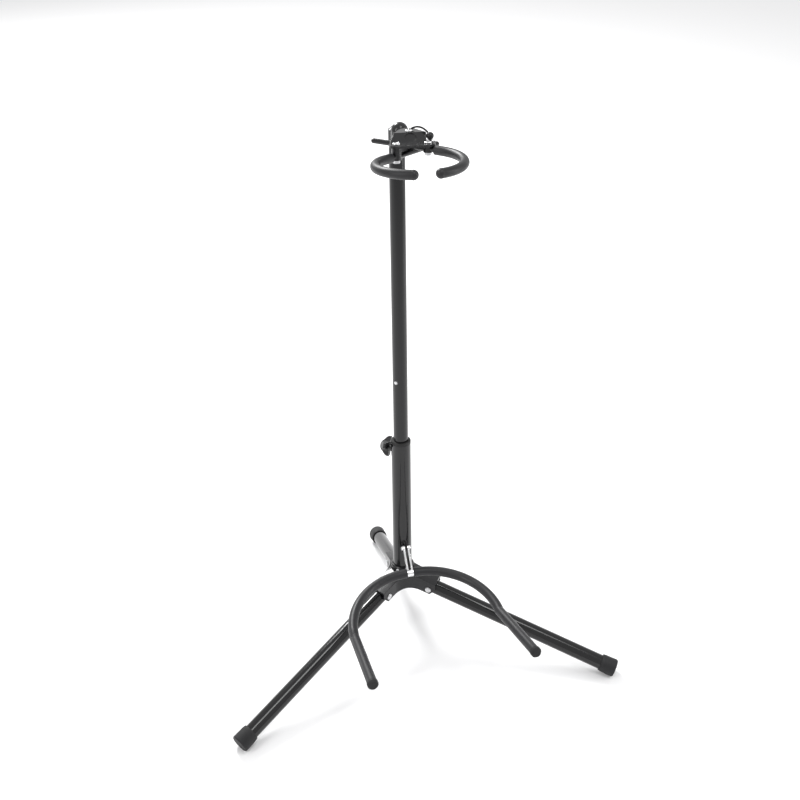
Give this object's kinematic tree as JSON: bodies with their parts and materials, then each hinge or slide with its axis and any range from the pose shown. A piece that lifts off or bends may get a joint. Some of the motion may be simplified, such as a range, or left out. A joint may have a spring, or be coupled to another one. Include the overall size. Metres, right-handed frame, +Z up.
{
  "type": "folding guitar stand",
  "caption": "Folding tripod stand for a guitar, with a leaning two-tube mast, a padded fork for the body and a padded ring of two swinging arms for the neck.",
  "frame": {"origin": "on the floor, under the middle of the whole stand's bounding box, with the stand as pictured", "axes": "+Z up; -Y is the front, where the cradle's fork and the neck ring point; +X is the right-hand side seen from the front"},
  "size_m": [0.5094, 0.3851, 0.7049],
  "materials": {
    "tube_paint": "gloss black paint",
    "hub_paint": "semi-gloss black paint",
    "rod_paint": "gloss black paint",
    "head": "gloss black moulding",
    "knob": "semi-gloss black moulding",
    "bush": "matt black moulding",
    "rubber": "matt black rubber",
    "foam": "matt dark grey foam rubber",
    "chrome": "bright chrome",
    "zinc": "bright zinc plate"
  },
  "bodies": {
    "base": {"hub": "hub_paint", "lower_tube": "tube_paint", "cradle_lug": "tube_paint", "clamp_boss": "tube_paint", "hub_set_screw": "zinc", "collar_bush": "bush", "leg_rivets": "zinc", "hinge_bolt": "chrome", "hinge_nut": "chrome"},
    "leg_left": {"leg_tube_left": "tube_paint", "foot_cap_left": "rubber"},
    "leg_right": {"leg_tube_right": "tube_paint", "foot_cap_right": "rubber"},
    "leg_rear": {"leg_tube_rear": "tube_paint", "foot_cap_rear": "rubber"},
    "clamp": {"clamp_knob": "knob", "clamp_screw": "zinc"},
    "cradle": {"cradle_bracket": "chrome", "cradle_rod": "rod_paint", "cradle_sleeve_left": "foam", "cradle_sleeve_right": "foam", "cradle_tip_left": "rubber", "cradle_tip_right": "rubber"},
    "slider": {"guide_bush": "bush"},
    "mast": {"upper_tube": "tube_paint", "stop_rivet": "zinc", "head_housing": "head", "head_cover": "head", "cover_screw": "chrome", "pivot_screws": "chrome", "pivot_nuts": "zinc", "strap_cord": "rubber", "strap_ball": "knob", "strap_eyelet": "chrome"},
    "yoke_left": {"yoke_rod_left": "rod_paint", "yoke_sleeve_left": "foam"},
    "yoke_right": {"yoke_rod_right": "rod_paint", "yoke_sleeve_right": "foam"}
  },
  "joints": [
    {"name": "leg_fold_left", "type": "hinge", "parent": "base", "child": "leg_left", "pos_m": [-0.03374, 0.0104, 0.06902], "axis": [0.5446, -0.8319, 0.1066], "range_deg": [0, 73]},
    {"name": "leg_fold_right", "type": "hinge", "parent": "base", "child": "leg_right", "pos_m": [0.03374, 0.0104, 0.06902], "axis": [0.5446, 0.8319, -0.1066], "range_deg": [0, 73]},
    {"name": "leg_fold_rear", "type": "hinge", "parent": "base", "child": "leg_rear", "pos_m": [0, 0.07203, 0.06112], "axis": [-1, 0, 0], "range_deg": [0, 73]},
    {"name": "clamp_turn", "type": "hinge", "parent": "base", "child": "clamp", "pos_m": [-0.01638, 0.07007, 0.27215], "axis": [-0.8192, 0.5689, -0.0729], "range_deg": [0, 540]},
    {"name": "mast_slide", "type": "slide", "parent": "base", "child": "slider", "axis": [0, 0.1271, 0.9919], "range_m": [-0.082, 0.056]},
    {"name": "mast_turn", "type": "hinge", "parent": "slider", "child": "mast", "pos_m": [0, 0.07178, 0.37577], "axis": [0, 0.1271, 0.9919], "continuous": true},
    {"name": "yoke_swing_left", "type": "hinge", "parent": "mast", "child": "yoke_left", "pos_m": [-0.01783, 0.04073, 0.68523], "axis": [0, -0.1271, -0.9919], "range_deg": [0, 22]},
    {"name": "yoke_swing_right", "type": "hinge", "parent": "mast", "child": "yoke_right", "pos_m": [0.01601, 0.0375, 0.68564], "axis": [0, 0.1271, 0.9919], "range_deg": [0, 22]},
    {"name": "cradle_fold", "type": "hinge", "parent": "base", "child": "cradle", "pos_m": [0, 0.02222, 0.13209], "axis": [-1, 0, 0], "range_deg": [0, 90]}
  ]
}
